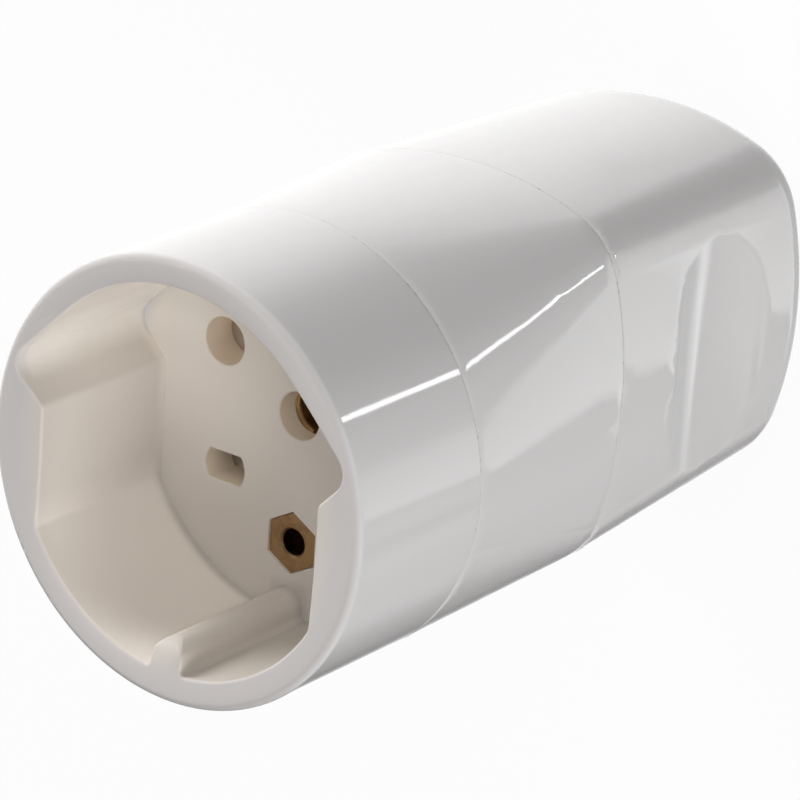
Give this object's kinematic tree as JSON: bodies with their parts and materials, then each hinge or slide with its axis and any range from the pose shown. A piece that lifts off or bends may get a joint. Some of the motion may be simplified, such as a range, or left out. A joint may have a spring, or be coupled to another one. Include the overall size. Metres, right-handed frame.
{
  "type": "inline socket connector",
  "caption": "Inline socket connector: round shell with a keyed plug recess and brass contacts behind its floor, tapering to a squarish grip with finger dishes and a rear cord inlet.",
  "frame": {"origin": "on the shell's axis, in the flat face of the rear end that the part stands on", "axes": "+Z along the shell's axis, from the rear end to the socket's rim; +X along the row of round pins; +Y from the key rib towards that row"},
  "size_m": [0.044, 0.044, 0.082],
  "materials": {
    "shell_plastic": "gloss white moulding",
    "clamp_plastic": "matte pale moulding",
    "contact_brass": "turned brass, slightly dull",
    "spring_steel": "bare spring steel",
    "screw_steel": "zinc-plated steel"
  },
  "bodies": {
    "root": {"front_housing": "shell_plastic", "contact_carrier": "shell_plastic", "rear_housing": "shell_plastic", "line_one_sleeve": "contact_brass", "neutral_sleeve": "contact_brass", "earth_sleeve": "contact_brass", "line_two_fork": "contact_brass", "line_three_fork": "contact_brass", "line_one_terminal": "contact_brass", "neutral_terminal": "contact_brass", "earth_terminal": "contact_brass", "line_two_terminal": "contact_brass", "line_three_terminal": "contact_brass", "sleeve_spring_rings": "spring_steel", "fork_spring_clips": "spring_steel", "terminal_screws": "screw_steel", "hex_nut": "contact_brass", "assembly_screw": "screw_steel", "cord_clamp_bar": "clamp_plastic", "cord_clamp_screws": "screw_steel"}
  },
  "joints": []
}
